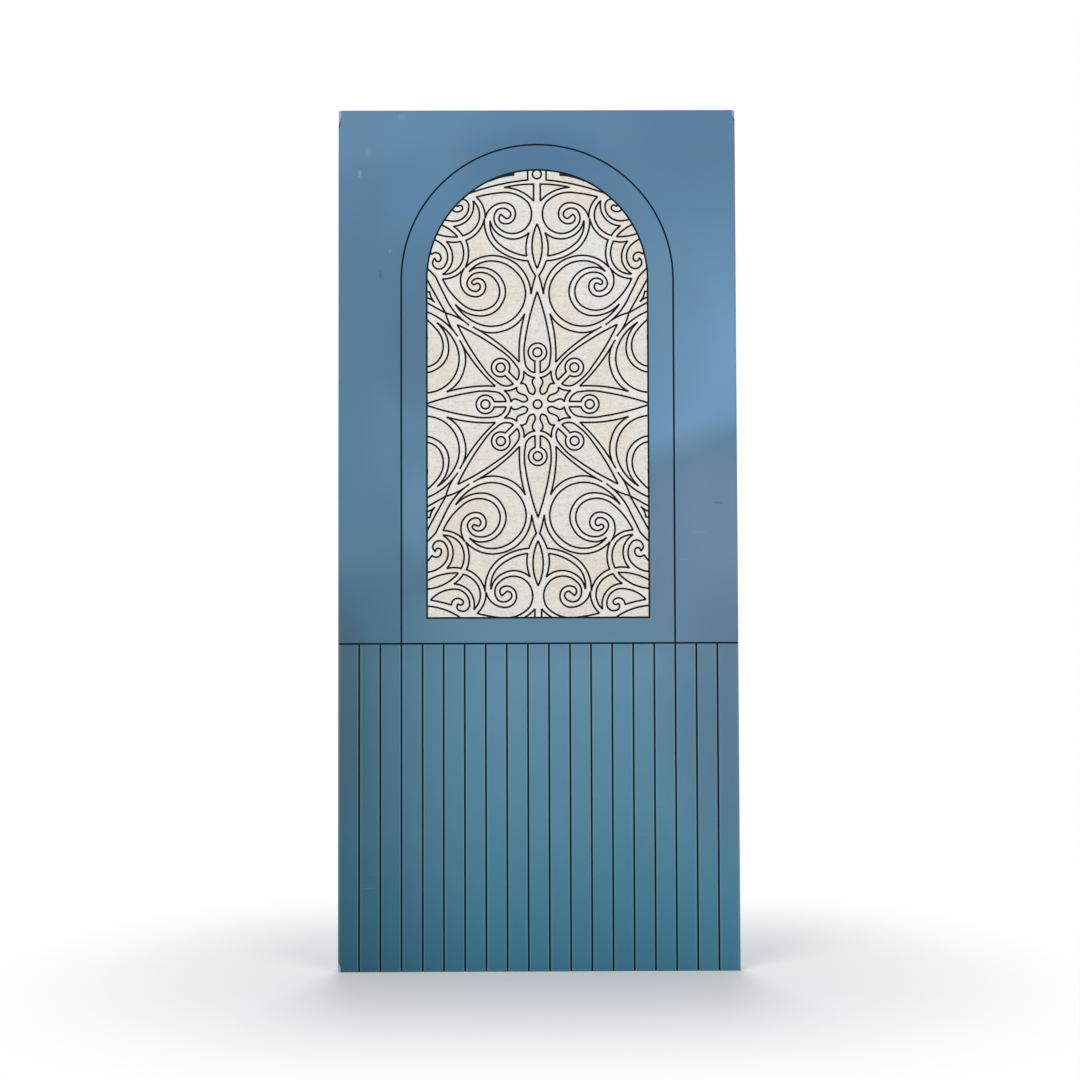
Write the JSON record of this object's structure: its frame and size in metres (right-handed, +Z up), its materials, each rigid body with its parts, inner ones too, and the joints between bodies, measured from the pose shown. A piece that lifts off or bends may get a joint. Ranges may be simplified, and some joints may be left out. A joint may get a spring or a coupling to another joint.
{
  "type": "interior door leaf",
  "caption": "Flush interior door leaf faced in blue laminate, with a round-headed arch holding a pale rosette and scroll inlay above upright planks.",
  "frame": {"origin": "the hinge edge, at the bottom of the leaf and the middle of its thickness", "axes": "+X from the hinge edge to the lock edge, +Z up, the decorated front face towards -Y"},
  "size_m": [0.95, 0.035, 2.05],
  "materials": {
    "blue_laminate": "satin blue laminate",
    "blue_edge_band": "satin blue edge band",
    "pale_laminate": "pale birch laminate with fine grain",
    "dark_backer": "near black board, matt",
    "core_board": "blockboard, unfinished"
  },
  "bodies": {
    "root": {"core_panel": "core_board", "hinge_edge_lipping": "blue_edge_band", "lock_edge_lipping": "blue_edge_band", "top_edge_lipping": "blue_edge_band", "bottom_edge_lipping": "blue_edge_band", "front_backer": "dark_backer", "upper_field": "blue_laminate", "arch_border": "blue_laminate", "inlay_sheet": "pale_laminate", "rosette_centre_disc": "pale_laminate", "rosette_hub_tiles": "pale_laminate", "rosette_ring_discs": "pale_laminate", "rosette_spearheads": "pale_laminate", "rosette_star_tiles": "pale_laminate", "large_scroll_tiles": "pale_laminate", "axis_leaf_tiles": "pale_laminate", "palmette_tiles": "pale_laminate", "corner_scroll_tiles": "pale_laminate", "plank_01": "blue_laminate", "plank_02": "blue_laminate", "plank_03": "blue_laminate", "plank_04": "blue_laminate", "plank_05": "blue_laminate", "plank_06": "blue_laminate", "plank_07": "blue_laminate", "plank_08": "blue_laminate", "plank_09": "blue_laminate", "plank_10": "blue_laminate", "plank_11": "blue_laminate", "plank_12": "blue_laminate", "plank_13": "blue_laminate", "plank_14": "blue_laminate", "plank_15": "blue_laminate", "plank_16": "blue_laminate", "plank_17": "blue_laminate", "plank_18": "blue_laminate", "plank_19": "blue_laminate", "back_backer": "dark_backer", "back_upper_field": "blue_laminate", "back_arch_border": "blue_laminate", "back_arch_panel": "pale_laminate", "back_planks": "blue_laminate"}
  },
  "joints": []
}
